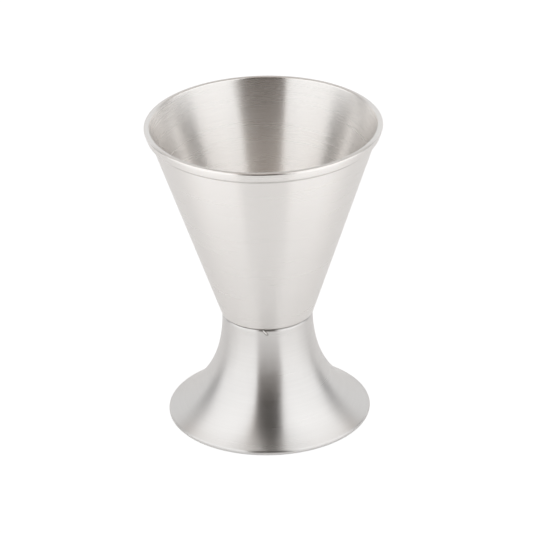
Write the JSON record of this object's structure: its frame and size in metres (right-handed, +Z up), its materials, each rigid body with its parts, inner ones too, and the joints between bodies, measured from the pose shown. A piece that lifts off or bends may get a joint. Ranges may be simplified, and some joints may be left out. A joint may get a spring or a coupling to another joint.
{
  "type": "bar jigger",
  "caption": "Double-ended bar jigger: a conical spirit measure with a hemmed rim, brazed floor to floor to a smaller bell-shaped measure that is also its foot.",
  "frame": {"origin": "on the cups' common axis, in the plane of the foot ring that the jigger stands on", "axes": "+Z up the axis towards the mouth of the conical measure; -Y towards the side where a bead of braze stands out of the seam"},
  "size_m": [0.054, 0.054, 0.0728],
  "materials": {
    "cup_steel": "satin, brushed round the axis",
    "bell_steel": "satin, brushed round the axis",
    "braze_metal": "bright as run"
  },
  "bodies": {
    "root": {"upper_cup": "cup_steel", "lower_cup": "bell_steel", "braze": "braze_metal"}
  },
  "joints": []
}
